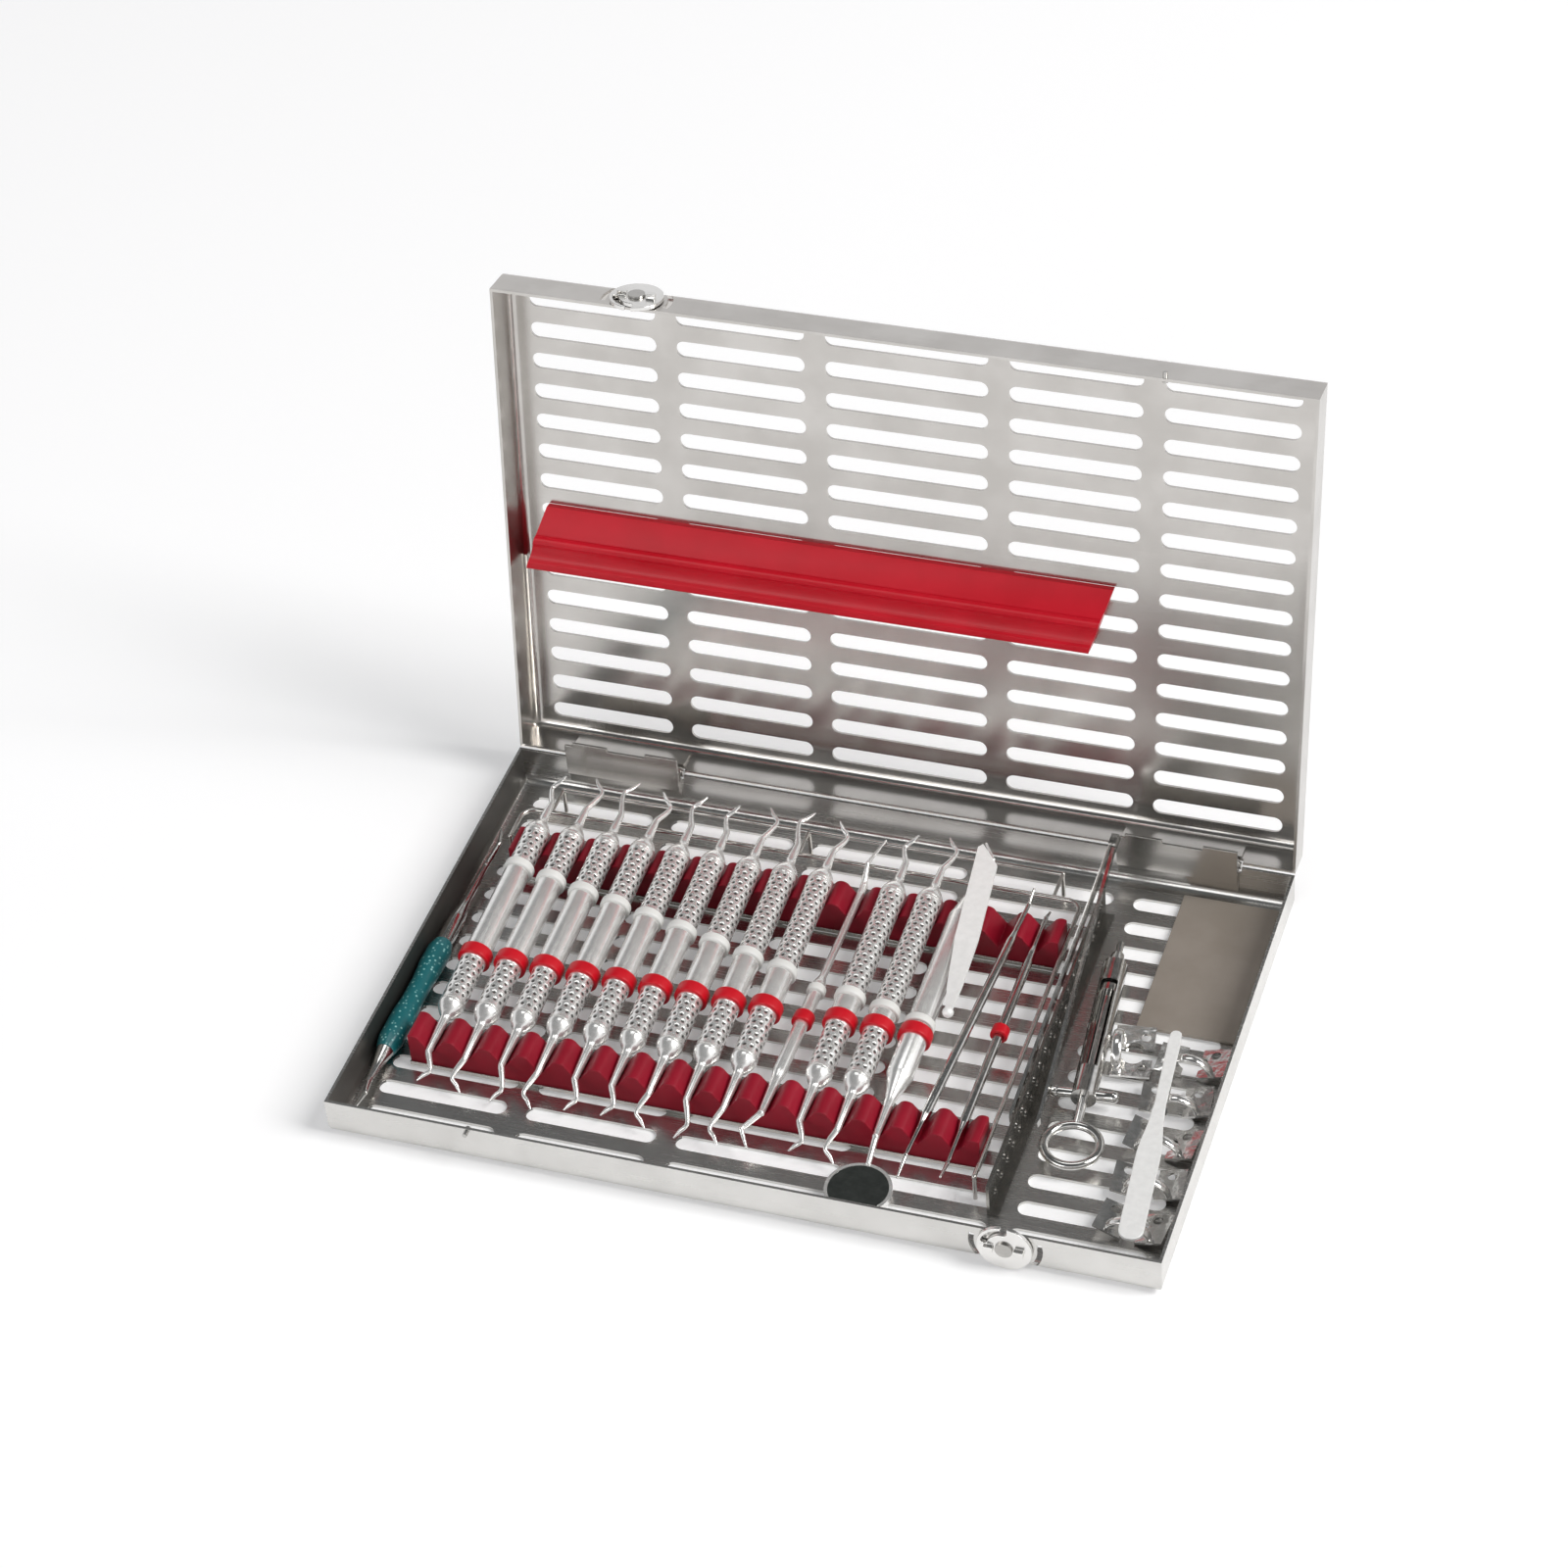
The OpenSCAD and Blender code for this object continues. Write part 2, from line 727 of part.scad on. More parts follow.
module mouth_mirror() {
    drop = front_z - mirror_z + (mirror_y - cone_front_y) * tan(atan(rise(grip_r)));
    color("silver") {
        lay_in_notch(mirror_index) {
            handle(grip_r);
            translate([0, 0, -front_run]) bent_bar(
                [[0, 0, 0], [0, drop * 0.9, mirror_y - cone_front_y + mirror_r + front_run]],
                [shank_r, shank_r * 0.8]
            );
            rear_tip(1, -1, rear_reach + 2);
        }
        place_mirror_head() difference() {
            translate([0, 0, -mirror_t / 2]) cylinder(h = mirror_t, r = mirror_r);
            translate([0, 0, mirror_t / 2 - glass_t])
                cylinder(h = glass_t + past, r = mirror_r - glass_margin);
        }
    }
}

module mirror_glass() {
    color("lightsteelblue") place_mirror_head()
        translate([0, 0, mirror_t / 2 - glass_t]) cylinder(h = glass_t, r = mirror_r - glass_margin);
}

module sleeve(y, width, outer, inner) {
    translate([0, 0, y - width / 2 - cone_front_y]) difference() {
        cylinder(h = width, r = outer);
        translate([0, 0, -past]) cylinder(h = width + 2 * past, r = inner);
    }
}

// The red ring and the pale ring of one handle
module id_rings(k) {
    r = handle_r(k);
    lay_in_notch(k) {
        color("red") sleeve(ring_y, ring_w, r + ring_r - grip_r, r);
        color("lightgray") sleeve(pale_y(k), pale_w, r + pale_r - grip_r, r);
    }
}

// Thin probes in the last two notches

probe_r = 1.6;
probe_neck_r = 0.9;
probe_l = 88;
probe_ring_r = 3;
probe_ring_w = 4;
probe_ring_at = 44;

module lay_probe(front_x, front_lift, rear_x, rear_z) {
    front = [front_x, front_rail_y, seat_z(probe_r) + front_lift];
    rear = [rear_x, rear_rail_y - rail_w / 2, rear_z];
    d = rear - front;
    translate(front) rotate([0, acos(d[2] / norm(d)), atan2(d[1], d[0])]) rotate([0, 0, 90]) children();
}

module probe_body(hand) {
    end_r = probe_neck_r * 0.8;
    rotate_extrude() polygon([
        [0, -front_run], [end_r, -front_run], [probe_neck_r, 0], [probe_r, 4], [probe_r, probe_l - 4],
        [probe_neck_r, probe_l], [end_r, probe_l + front_run], [0, probe_l + front_run]
    ]);
    translate([0, 0, -front_run]) bent_bar([[0, 0, 0], [0, -hand * 2, -8]], [end_r, tip_r]);
    translate([0, 0, probe_l + front_run]) bent_bar([[0, 0, 0], [0, hand * 2, 5]], [end_r, tip_r]);
}

module lay_probe_left() {
    lay_probe(slot_x(13), 0.7, slot_x(13.5), rail_top + probe_r + soft_gap) children();
}

module lay_probe_right() {
    lay_probe(slot_x(14), 0, slot_x(14), seat_z(probe_r)) children();
}

module probe_left() {
    color("dimgray") lay_probe_left() probe_body(1);
}

module probe_right() {
    color("silver") lay_probe_right() probe_body(-1);
}

module probe_ring() {
    color("red") lay_probe_right() translate([0, 0, probe_ring_at]) difference() {
        cylinder(h = probe_ring_w, r = probe_ring_r);
        translate([0, 0, -past]) cylinder(h = probe_ring_w + 2 * past, r = probe_r);
    }
}

// Scaler with a resin grip, beside the left wall

resin_x = -134;
resin_r = 4.3;
resin_z = floor_z + resin_r + soft_gap;
resin_y0 = -55;
resin_y1 = -2;
resin_core_r = 2;
resin_collar_r = 3;
resin_waist_r = 3.7;
resin_front = 14;
resin_ferrule = 12;
resin_rear = 40;

module lay_resin() {
    translate([resin_x, resin_y0, resin_z]) along_y() children();
}

// The straight run behind the grip tapers over a long shank
module resin_scaler() {
    l = resin_y1 - resin_y0;
    color("silver") lay_resin() {
        rotate_extrude() polygon([
            [0, -resin_front], [shank_r, -resin_front], [neck_r, -resin_front / 2], [resin_collar_r, 0],
            [resin_core_r, 0], [resin_core_r, l], [resin_collar_r, l], [resin_collar_r, l + resin_ferrule],
            [neck_r, l + resin_ferrule + 8], [shank_r, l + resin_rear], [0, l + resin_rear]
        ]);
        translate([0, 0, l + resin_rear])
            bent_bar([[0, 0, 0], [1.5, -2, 10], [-1, -1, 18]], [shank_r, elbow_r, tip_r]);
        translate([0, 0, -resin_front])
            bent_bar([[0, 0, 0], [1.8, -1.5, -7], [-0.8, 1.5, -13]], [shank_r, elbow_r, tip_r]);
    }
}

// Grip with a swelling at each end and a slimmer waist
module resin_grip() {
    l = resin_y1 - resin_y0;
    color("teal") lay_resin() difference() {
        rotate_extrude() polygon([
            [0, 0], [resin_collar_r + 0.2, 0], [resin_r, 5], [resin_r, 16], [resin_waist_r, 24],
            [resin_waist_r, l - 20], [resin_r, l - 12], [resin_r, l - 4], [resin_collar_r + 0.2, l], [0, l]
        ]);
        translate([0, 0, -past]) cylinder(h = l + 2 * past, r = resin_core_r);
    }
}

// Carver with a flat polished handle, lying on its neighbour

carver_rear = [39.4, 71, 22.8];
carver_front = [46.2, -5, 16.3];
carver_w = 8;
carver_t = 1.2;
carver_ball_r = 1.9;
carver_neck = 3;
carver_waist = 14;
carver_full = 34;
carver_slant = 9;

module flat_carver() {
    d = carver_rear - carver_front;
    l = norm(d);
    lean = [0, -asin(d[2] / l), atan2(d[1], d[0])];
    color("whitesmoke") translate(carver_front) rotate(lean) {
        linear_extrude(carver_t) polygon([
            [carver_neck, -1.2], [carver_waist, -2.6], [carver_full, -carver_w / 2],
            [l - carver_slant, -carver_w / 2], [l, carver_w / 2 - 1.5], [l - 1.5, carver_w / 2],
            [carver_full, carver_w / 2], [carver_waist, 2.6], [carver_neck, 1.2]
        ]);
        translate([carver_ball_r, 0, carver_t / 2]) sphere(r = carver_ball_r);
    }
}

// Tweezers: two arms astride the divider, joined at the rear

tweezer_joint = [79, 83.5, 22];
tweezer_left = [75.8, -36, 7];
tweezer_right = [85.2, -36, 7];
tweezer_arm_t = 1.1;
tweezer_arm_h = 3;

module tweezer_arm(start, end, side) {
    from = start + [side * tweezer_arm_t / 2, 0, 0];
    d = end - from;
    l = norm(d);
    half_t = tweezer_arm_t / 2;
    translate(from) rotate([0, -asin(d[2] / l), atan2(d[1], d[0])])
        translate([0, 0, -tweezer_arm_h / 2]) linear_extrude(tweezer_arm_h)
            polygon([[0, -half_t], [l - 2, -half_t], [l, 0], [l - 2, half_t], [0, half_t]]);
}

module tweezers() {
    color("silver") {
        tweezer_arm(tweezer_joint, tweezer_left, -1);
        tweezer_arm(tweezer_joint, tweezer_right, 1);
        translate(tweezer_joint) cube([2.4, 5, 4.4], center = true);
    }
}

// Cartridge syringe in the accessory bay

syringe_grip = [96, -20, 6.2];
syringe_angle = 5.2;
barrel_len = 62;
syringe_r = 4.2;
syringe_bore = 3.4;
plunger_r = 1.6;
plunger_out = 12;
thumb_r = 9;
thumb_wire = 1.5;
finger_bar = 19;
finger_r = 1.8;
nose_l = 5;
hub_l = 6;
back_wall = 5;
window_from = 12;
plunger_gap = 0.05;

module lay_syringe() {
    translate(syringe_grip) rotate([0, 0, syringe_angle]) along_y() children();
}

// Barrel with an open window, finger bar at the rear and a threaded nose in front
module syringe_barrel() {
    color("silver") lay_syringe() difference() {
        union() {
            cylinder(h = barrel_len, r = syringe_r);
            translate([0, 0, barrel_len]) cylinder(h = nose_l, r1 = 3, r2 = 2.2);
            translate([0, 0, barrel_len + nose_l]) cylinder(h = hub_l, r = 1.2);
            translate([-finger_bar / 2, 0, 2]) rotate([0, 90, 0]) cylinder(h = finger_bar, r = finger_r);
            both_sides(finger_bar / 2) translate([0, 0, 2]) sphere(r = finger_r * ball_factor);
        }
        translate([0, 0, back_wall]) cylinder(h = barrel_len - back_wall - 3, r = syringe_bore);
        translate([0, 0, -past]) cylinder(h = back_wall + 3 + past, r = plunger_r + plunger_gap);
        translate([-syringe_bore * 0.8, -syringe_r - past, window_from])
            cube([syringe_bore * 1.6, syringe_r + past, barrel_len - 22]);
    }
}

module syringe_plunger() {
    piston_z = barrel_len - 14;
    color("silver") lay_syringe() {
        translate([0, 0, -plunger_out]) cylinder(h = plunger_out + piston_z, r = plunger_r);
        translate([0, 0, piston_z]) cylinder(h = 3, r = syringe_bore - 0.1);
        translate([0, 0, -plunger_out - thumb_r]) rotate([90, 0, 0])
            rotate_extrude() translate([thumb_r, 0]) circle(r = thumb_wire);
    }
}

// Flat spatula, lying on the clamps' bows

spatula_rear = [119, 12, 10.6];
spatula_front = [127, -80, 10.6];
spatula_w = 8;
spatula_t = 1.2;

module cement_spatula() {
    d = spatula_front - spatula_rear;
    l = norm(d);
    color("whitesmoke") translate(spatula_rear) rotate([0, 0, atan2(d[1], d[0])])
        linear_extrude(spatula_t) {
            translate([spatula_w / 2, -spatula_w / 2]) square([l - spatula_w, spatula_w]);
            translate([spatula_w / 2, 0]) circle(r = spatula_w / 2);
            translate([l - spatula_w / 2, 0]) circle(r = spatula_w / 2);
        }
}

// Rubber dam clamps: two jaws joined by a bow

clamp_bow_r = 7;
clamp_wire = 0.9;
clamp_jaw_w = 9;
clamp_jaw_l = 13;
clamp_t = 1;
clamp_hole_r = 1.6;
clamp_bite_r = 3.4;
clamp_z = floor_z + soft_gap;
clamp_spots = [
    [125.2, 6, 90], [124.7, -12.5, 97], [124.6, -31, 86], [125, -49.5, 94], [124.5, -68, 84],
    [103.5, 7, 8]
];

module dam_clamp() {
    for (side = [0, 1]) mirror([0, side, 0]) translate([0, clamp_bow_r, 0]) difference() {
        translate([-clamp_jaw_l / 2 + 2, -clamp_jaw_w / 2, 0]) cube([clamp_jaw_l, clamp_jaw_w, clamp_t]);
        translate([clamp_jaw_l / 2 - 1, 0, -past]) cylinder(h = clamp_t + 2 * past, r = clamp_hole_r);
        translate([2, -clamp_jaw_w / 2 - 1, -past]) cylinder(h = clamp_t + 2 * past, r = clamp_bite_r);
    }
    translate([-3, 0, clamp_t]) rotate([90, 0, 90]) rotate_extrude(angle = 180)
        translate([clamp_bow_r, 0]) circle(r = clamp_wire, $fn = 24);
}

// Five in a row under the spatula, one beside them
module dam_clamps() {
    color("silver") for (spot = clamp_spots)
        translate([spot[0], spot[1], clamp_z]) rotate([0, 0, spot[2]]) dam_clamp();
}

tray_shell();
tray_grille();
id_plate();
divider_wall();
rail_channels();
front_rail();
rear_rail();
wire_rack();
tray_hinge_leaves();
hinge_pins();
tray_rivets();
lid_shell();
lid_grille();
lid_hinge_leaves();
hold_down_bar();
lid_rivets();
tray_latch();
lid_latch();
scaler(0);  // scaler_01
scaler(1);  // scaler_02
scaler(2);  // scaler_03
scaler(3);  // scaler_04
scaler(4);  // scaler_05
scaler(5);  // scaler_06
scaler(6);  // scaler_07
scaler(7);  // scaler_08
scaler(8);  // scaler_09
slim_explorer();
scaler(10);  // scaler_11
scaler(11);  // scaler_12
mouth_mirror();
mirror_glass();
id_rings(0);  // id_rings_01
id_rings(1);  // id_rings_02
id_rings(2);  // id_rings_03
id_rings(3);  // id_rings_04
id_rings(4);  // id_rings_05
id_rings(5);  // id_rings_06
id_rings(6);  // id_rings_07
id_rings(7);  // id_rings_08
id_rings(8);  // id_rings_09
id_rings(9);  // id_rings_10
id_rings(10);  // id_rings_11
id_rings(11);  // id_rings_12
id_rings(12);  // id_rings_13
probe_left();
probe_right();
probe_ring();
resin_scaler();
resin_grip();
flat_carver();
tweezers();
syringe_barrel();
syringe_plunger();
cement_spatula();
dam_clamps();
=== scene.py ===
import json
import math

import bmesh
import bpy
from mathutils import Matrix, Vector

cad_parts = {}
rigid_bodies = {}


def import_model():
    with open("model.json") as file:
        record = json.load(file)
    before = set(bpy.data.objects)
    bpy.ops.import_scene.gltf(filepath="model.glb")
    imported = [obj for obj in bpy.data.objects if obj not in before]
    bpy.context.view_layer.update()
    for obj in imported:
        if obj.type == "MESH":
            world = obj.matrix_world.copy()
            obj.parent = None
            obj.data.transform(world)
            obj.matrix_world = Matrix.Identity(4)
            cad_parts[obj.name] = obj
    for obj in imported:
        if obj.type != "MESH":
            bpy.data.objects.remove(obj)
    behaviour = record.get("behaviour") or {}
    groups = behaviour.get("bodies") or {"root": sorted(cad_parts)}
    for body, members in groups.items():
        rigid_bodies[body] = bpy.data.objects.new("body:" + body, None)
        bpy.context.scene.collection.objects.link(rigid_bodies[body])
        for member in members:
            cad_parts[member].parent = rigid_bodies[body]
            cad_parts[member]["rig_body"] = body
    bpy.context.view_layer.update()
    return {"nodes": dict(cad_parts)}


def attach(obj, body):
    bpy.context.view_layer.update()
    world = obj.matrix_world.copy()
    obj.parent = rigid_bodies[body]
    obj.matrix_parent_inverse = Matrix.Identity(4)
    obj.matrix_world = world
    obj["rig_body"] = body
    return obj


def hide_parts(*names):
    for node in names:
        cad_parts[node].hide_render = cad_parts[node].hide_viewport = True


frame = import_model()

MM = 0.001

# Lengths are in millimetres, in the frame's axes: X to the right, Y to the rear, Z up.
# Angles that math.radians() doesn't turn here are in degrees.

# Notches: a handle's front end lies in the front rail, its rear grip in the rear rail
PITCH = 12.9
FIRST_X = -117.5
NOTCH_Z = 7.5
NOTCH_HALF_ANGLE = math.radians(38)
SEAT_GAP = 0.3
FRONT_Y = -42
REAR_RAIL_Y = 40
RAIL_STEP = REAR_RAIL_Y - FRONT_Y

# Instruments, one to a notch from the left
INSTRUMENTS = [
    *(f"scaler_{number:02d}" for number in range(1, 10)),
    "slim_explorer", "scaler_11", "scaler_12", "mouth_mirror",
]
SLIM = INSTRUMENTS.index("slim_explorer")
SOLID_FORMS = ("slim_explorer", "mouth_mirror")
REAR_Y = 55
HANDLE_L = REAR_Y - FRONT_Y
GRIP_R = 4.5
SLIM_R = 2.4
SLIM_SHANK_R = 1.3
NECK_R = 1.7

# Ends of a handle: (distance from its end, what it adds to the neck's radius),
# then (distance from NOSE_AT, share of the way from the neck's radius to the handle's)
CONE_L = 7
NECK = [(0, 0), (1.5, 0), (1.9, 0.25), (2.4, 0.5)]
NOSE_AT = 1.9
NOSE = [(1.0, 0.36), (2.0, 0.58), (3.0, 0.77), (3.9, 0.91), (4.6, 0.98), (5.0, 1.0)]

# Groove behind each cone: (distance from the cone, depth)
GROOVE_DEPTH = 0.5
GROOVE_W = 0.9
GROOVE = [(0.1, 0), (0.25, GROOVE_DEPTH), (GROOVE_W, GROOVE_DEPTH), (GROOVE_W + 0.15, 0)]

# Two dimpled grips on each handle, between the grooves and the rings
GRIP_FROM_GROOVE = 1.2
GRIP_FROM_RED = 0.8
GRIP_FROM_PALE = 1.2
GRIP_STEP = 0.12
GRIP_RAMP = 0.7
GRIP_SPACING = 0.32
DIMPLE_STEP = 2.4
DIMPLE_R = 0.85
DIMPLE_DEPTH = 0.22
DIMPLE_CURVE = 0.75
DIMPLES_ROUND = 11
HANDLE_SIDES = 72
HANDLE_SHARP = 40
HOLLOW = "hollow"

# Silicone rings; each pale one lies further forward than the one to its left
RING_Y = -12
RING_W = 4.5
RING_RISE = 1.2
PALE_Y = 30
PALE_SLANT = 3.1
PALE_W = 3
PALE_RISE = 0.8
RING_GAP = 0.01
RING_EDGE = 0.5
RING_SIDES = 40
RING_SHARP = 50
EDGE_STEPS = 4

# Bent ends. An elbow is (distance to the side, share of the point's drop or rise).
FRONT_RUN = 14
REAR_RUN = 8
SHANK_R = 1.1
ELBOW_R = 0.75
BLADE_R = (0.675, 0.525)
POINT_R = (0.24, 0.16)
ELBOW_AT = 0.6
BLADE_AT = 0.55
FRONT_ELBOW = (2.4, 0.45)
REAR_ELBOW = (2.6, 0.3)
POINT_X = 1.3
CURVE_STEPS = 7
# The bends in turn: which side, the front point's drop and reach, the rear one's rise and reach
BENDS = [
    (1, 4.5, 9, 2, 12),
    (-1, 5.5, 10, 1, 14),
    (1, 6.5, 11, 0, 16),
    (-1, 4.5, 12, 2, 12),
    (1, 5.5, 9, 1, 14),
]

# Dam clamps: height of the jaws' undersides; over it, where the bows start and where the
# tipping has faded out; how far from the middle the jaws begin to tip; then the line that
# a bow is drawn out from, and how many times its width it gets
CLAMP_BASE = 1.3
BOW_START = 1.05
CLAMP_TOP = 8.9
CLAMP_INNER = 2.5
BOW_X = -3
BOW_WIDENING = 1.9
# Where each dam clamp lies, its turn in degrees, and how steeply its jaws tip up
CLAMPS = [
    (125.2, 6, 90, 0.34), (124.7, -12.5, 97, 0.24), (124.6, -31, 86, 0.36),
    (125, -49.5, 94, 0.27), (124.5, -68, 84, 0.34), (103.5, 7, 8, 0.16),
]

# Spatula: its two ends, and its half width at shares of its length
SPATULA_REAR = (119, 12, 10.6)
SPATULA_FRONT = (127, -80, 10.6)
SPATULA_T = 1.2
SPATULA_HALF = [
    (0.03, 1.9), (0.06, 2.1), (0.36, 1.9), (0.46, 2.5), (0.54, 3.5), (0.60, 3.95), (0.64, 4.0),
]
SPATULA_REAR_TURNS = (0.2, 0.6, 1.0, 1.3)
SPATULA_FRONT_STEPS = 8
SPATULA_EDGE = 0.25

# Case: the lid's angle and hinge line, and where its rims meet the perforated floors
LID_OPEN = math.radians(98.7)
HINGE = Vector((0, 90.2, 15)) * MM
SEAM_X = 135
SEAM_Y = 85
SEAM_REACH = 0.01
FACING = 0.99
PAN_EDGE = 0.14

# Every mesh: how near points are to be welded, and which angles count as flat and as sharp
WELD = 0.002
FLAT_ANGLE = 0.5
SHARP_ANGLE = 32


# Node materials

def new_material(name):
    material = bpy.data.materials.new(name)
    material.use_nodes = True
    tree = material.node_tree
    return material, tree, tree.nodes["Principled BSDF"]


def link(tree, source, output, target, socket):
    tree.links.new(source.outputs[output], target.inputs[socket])


def coordinates(tree, scale=(1, 1, 1)):
    where = tree.nodes.new("ShaderNodeTexCoord")
    mapping = tree.nodes.new("ShaderNodeMapping")
    mapping.inputs["Scale"].default_value = scale
    link(tree, where, "Object", mapping, "Vector")
    return mapping


def noise(tree, scale, detail=3.0, roughness=0.5, stretch=(1, 1, 1)):
    node = tree.nodes.new("ShaderNodeTexNoise")
    node.inputs["Scale"].default_value = scale
    node.inputs["Detail"].default_value = detail
    node.inputs["Roughness"].default_value = roughness
    link(tree, coordinates(tree, stretch), "Vector", node, "Vector")
    return node


def tones(tree, source, output, dark, light, low=0.35, high=0.65):
    """A ramp from one colour to another between two values of the source."""
    ramp = tree.nodes.new("ShaderNodeValToRGB")
    ramp.color_ramp.elements[0].position = low
    ramp.color_ramp.elements[0].color = (*dark, 1)
    ramp.color_ramp.elements[1].position = high
    ramp.color_ramp.elements[1].color = (*light, 1)
    link(tree, source, output, ramp, "Fac")
    return ramp


def spread(tree, source, limits):
    """A value between two limits that follows a noise."""
    node = tree.nodes.new("ShaderNodeMapRange")
    node.inputs["To Min"].default_value, node.inputs["To Max"].default_value = limits
    link(tree, source, "Fac", node, "Value")
    return node


def coat(tree, shader, colour, roughness):
    link(tree, colour, "Color", shader, "Base Color")
    link(tree, roughness, "Result", shader, "Roughness")


def bump(tree, source, shader, strength, distance):
    node = tree.nodes.new("ShaderNodeBump")
    node.inputs["Strength"].default_value = strength
    node.inputs["Distance"].default_value = distance
    link(tree, source, "Fac", node, "Height")
    link(tree, node, "Normal", shader, "Normal")


def mix(tree, kind, blend="MIX"):
    """The factor, the two ends and the result of a new mix node."""
    node = tree.nodes.new("ShaderNodeMix")
    node.data_type = kind
    node.blend_type = blend
    sockets = [socket for socket in node.inputs if socket.enabled]
    return (*sockets, next(socket for socket in node.outputs if socket.enabled))


def steel(name, dark, light, rough, grain=(25, 1400, 1400), metallic=1.0):
    """Satin stainless: grain drawn out along one axis, with faint cloudy wear over it."""
    material, tree, shader = new_material(name)
    shader.inputs["Metallic"].default_value = metallic
    brushed = noise(tree, 1.0, detail=4.0, roughness=0.6, stretch=grain)
    cloud = noise(tree, 45.0, detail=4.0, roughness=0.55)
    coat(tree, shader, tones(tree, cloud, "Fac", dark, light), spread(tree, brushed, rough))
    bump(tree, brushed, shader, strength=0.05, distance=0.00005)
    return material


def paint_shade_on_left_wall(material, shade, rough):
    """Paints shade on the inner face of the left wall: a darker colour there, and a higher
    roughness.
    """
    tree = material.node_tree
    shader = tree.nodes["Principled BSDF"]
    surface = tree.nodes.new("ShaderNodeNewGeometry")
    inside = tree.nodes.new("ShaderNodeMath")
    inside.operation = "MULTIPLY"
    # Faces that point to the right, on the left half of the tray
    tests = (("Normal", "GREATER_THAN", 0.6), ("Position", "LESS_THAN", 0.0))
    for i, (vector, test, limit) in enumerate(tests):
        split = tree.nodes.new("ShaderNodeSeparateXYZ")
        link(tree, surface, vector, split, "Vector")
        mask = tree.nodes.new("ShaderNodeMath")
        mask.operation = test
        mask.inputs[1].default_value = limit
        link(tree, split, "X", mask, 0)
        link(tree, mask, "Value", inside, i)
    # Painted shade in the base colour, and a higher roughness, on the faces picked out above
    for socket, value, kind in (("Base Color", (*shade, 1), "RGBA"), ("Roughness", rough, "FLOAT")):
        factor, clean, shade_and_dullness, result = mix(tree, kind)
        tree.links.new(inside.outputs["Value"], factor)
        tree.links.new(shader.inputs[socket].links[0].from_socket, clean)
        shade_and_dullness.default_value = value
        tree.links.new(result, shader.inputs[socket])


def silicone(name, dark, light, rough):
    """Moulded silicone: nearly even colour, with a soft skin and very fine pores."""
    material, tree, shader = new_material(name)
    shader.inputs["Specular IOR Level"].default_value = 0.3
    cloud = noise(tree, 60.0)
    colour = tones(tree, cloud, "Fac", dark, light, 0.3, 0.7)
    coat(tree, shader, colour, spread(tree, cloud, (rough - 0.06, rough + 0.06)))
    bump(tree, noise(tree, 2600.0, detail=2.0), shader, strength=0.08, distance=0.00004)
    return material


def speckled_resin(name, flake, ground):
    """Resin with lighter flakes under a glossy skin."""
    material, tree, shader = new_material(name)
    shader.inputs["Coat Weight"].default_value = 0.3
    shader.inputs["Coat Roughness"].default_value = 0.15
    flakes = tree.nodes.new("ShaderNodeTexVoronoi")
    flakes.inputs["Scale"].default_value = 620.0
    link(tree, coordinates(tree), "Vector", flakes, "Vector")
    colour = tones(tree, flakes, "Distance", flake, ground, 0.10, 0.30)
    cloud = noise(tree, 500.0)
    coat(tree, shader, colour, spread(tree, cloud, (0.25, 0.45)))
    bump(tree, cloud, shader, strength=0.25, distance=0.0002)
    return material


def polished(name, dark, light, rough, metallic=1.0):
    """Bright steel with faint swirls from polishing."""
    material, tree, shader = new_material(name)
    shader.inputs["Metallic"].default_value = metallic
    swirl = noise(tree, 420.0, detail=5.0, roughness=0.6)
    coat(tree, shader, tones(tree, swirl, "Fac", dark, light), spread(tree, swirl, rough))
    bump(tree, swirl, shader, strength=0.03, distance=0.00005)
    return material


def dotted_grip(name, dark, light, rough, hollow_shade_colour):
    """Polished handle with painted shade in its small round hollows, darker where the relief is
    deeper.
    """
    material = polished(name, dark, light, rough, metallic=0.75)
    tree = material.node_tree
    colour = tree.nodes["Principled BSDF"].inputs["Base Color"]
    # Painted shade: the colour is multiplied darker by the depth of the hollows
    depth = tree.nodes.new("ShaderNodeAttribute")
    depth.attribute_name = HOLLOW
    hollow_shade = tones(tree, depth, "Fac", (1, 1, 1), hollow_shade_colour, 0.25, 0.75)
    factor, clean, over, result = mix(tree, "RGBA", "MULTIPLY")
    factor.default_value = 1.0
    tree.links.new(colour.links[0].from_socket, clean)
    tree.links.new(hollow_shade.outputs["Color"], over)
    tree.links.new(result, colour)
    return material


def dented(name, dark, light, rough):
    """Bright pressed pieces, tumbled together until their faces are no longer flat."""
    material = polished(name, dark, light, rough, metallic=0.92)
    tree = material.node_tree
    dents = noise(tree, 210.0, detail=2.0)
    bump(tree, dents, tree.nodes["Principled BSDF"], strength=0.3, distance=0.0011)
    return material


TRAY_STEEL = steel("tray_steel_look", (0.62, 0.61, 0.59), (0.70, 0.69, 0.67), (0.20, 0.32))
# Painted shade: the inner face of the left wall gets a darker colour
paint_shade_on_left_wall(TRAY_STEEL, shade=(0.16, 0.155, 0.145), rough=0.5)
LID_STEEL = steel("lid_steel_look", (0.53, 0.51, 0.485), (0.61, 0.59, 0.565), (0.16, 0.27))
FITTING_STEEL = steel("fitting_steel_look", (0.52, 0.505, 0.48), (0.62, 0.60, 0.57), (0.18, 0.30))
PLATE_STEEL = steel(
    "plate_steel_look", (0.30, 0.262, 0.224), (0.345, 0.303, 0.264), (0.42, 0.55),
    grain=(900, 30, 900), metallic=0.3,
)
DIVIDER_STEEL = steel(
    "divider_steel_look", (0.30, 0.29, 0.27), (0.40, 0.385, 0.36), (0.16, 0.28),
    grain=(900, 40, 900),
)
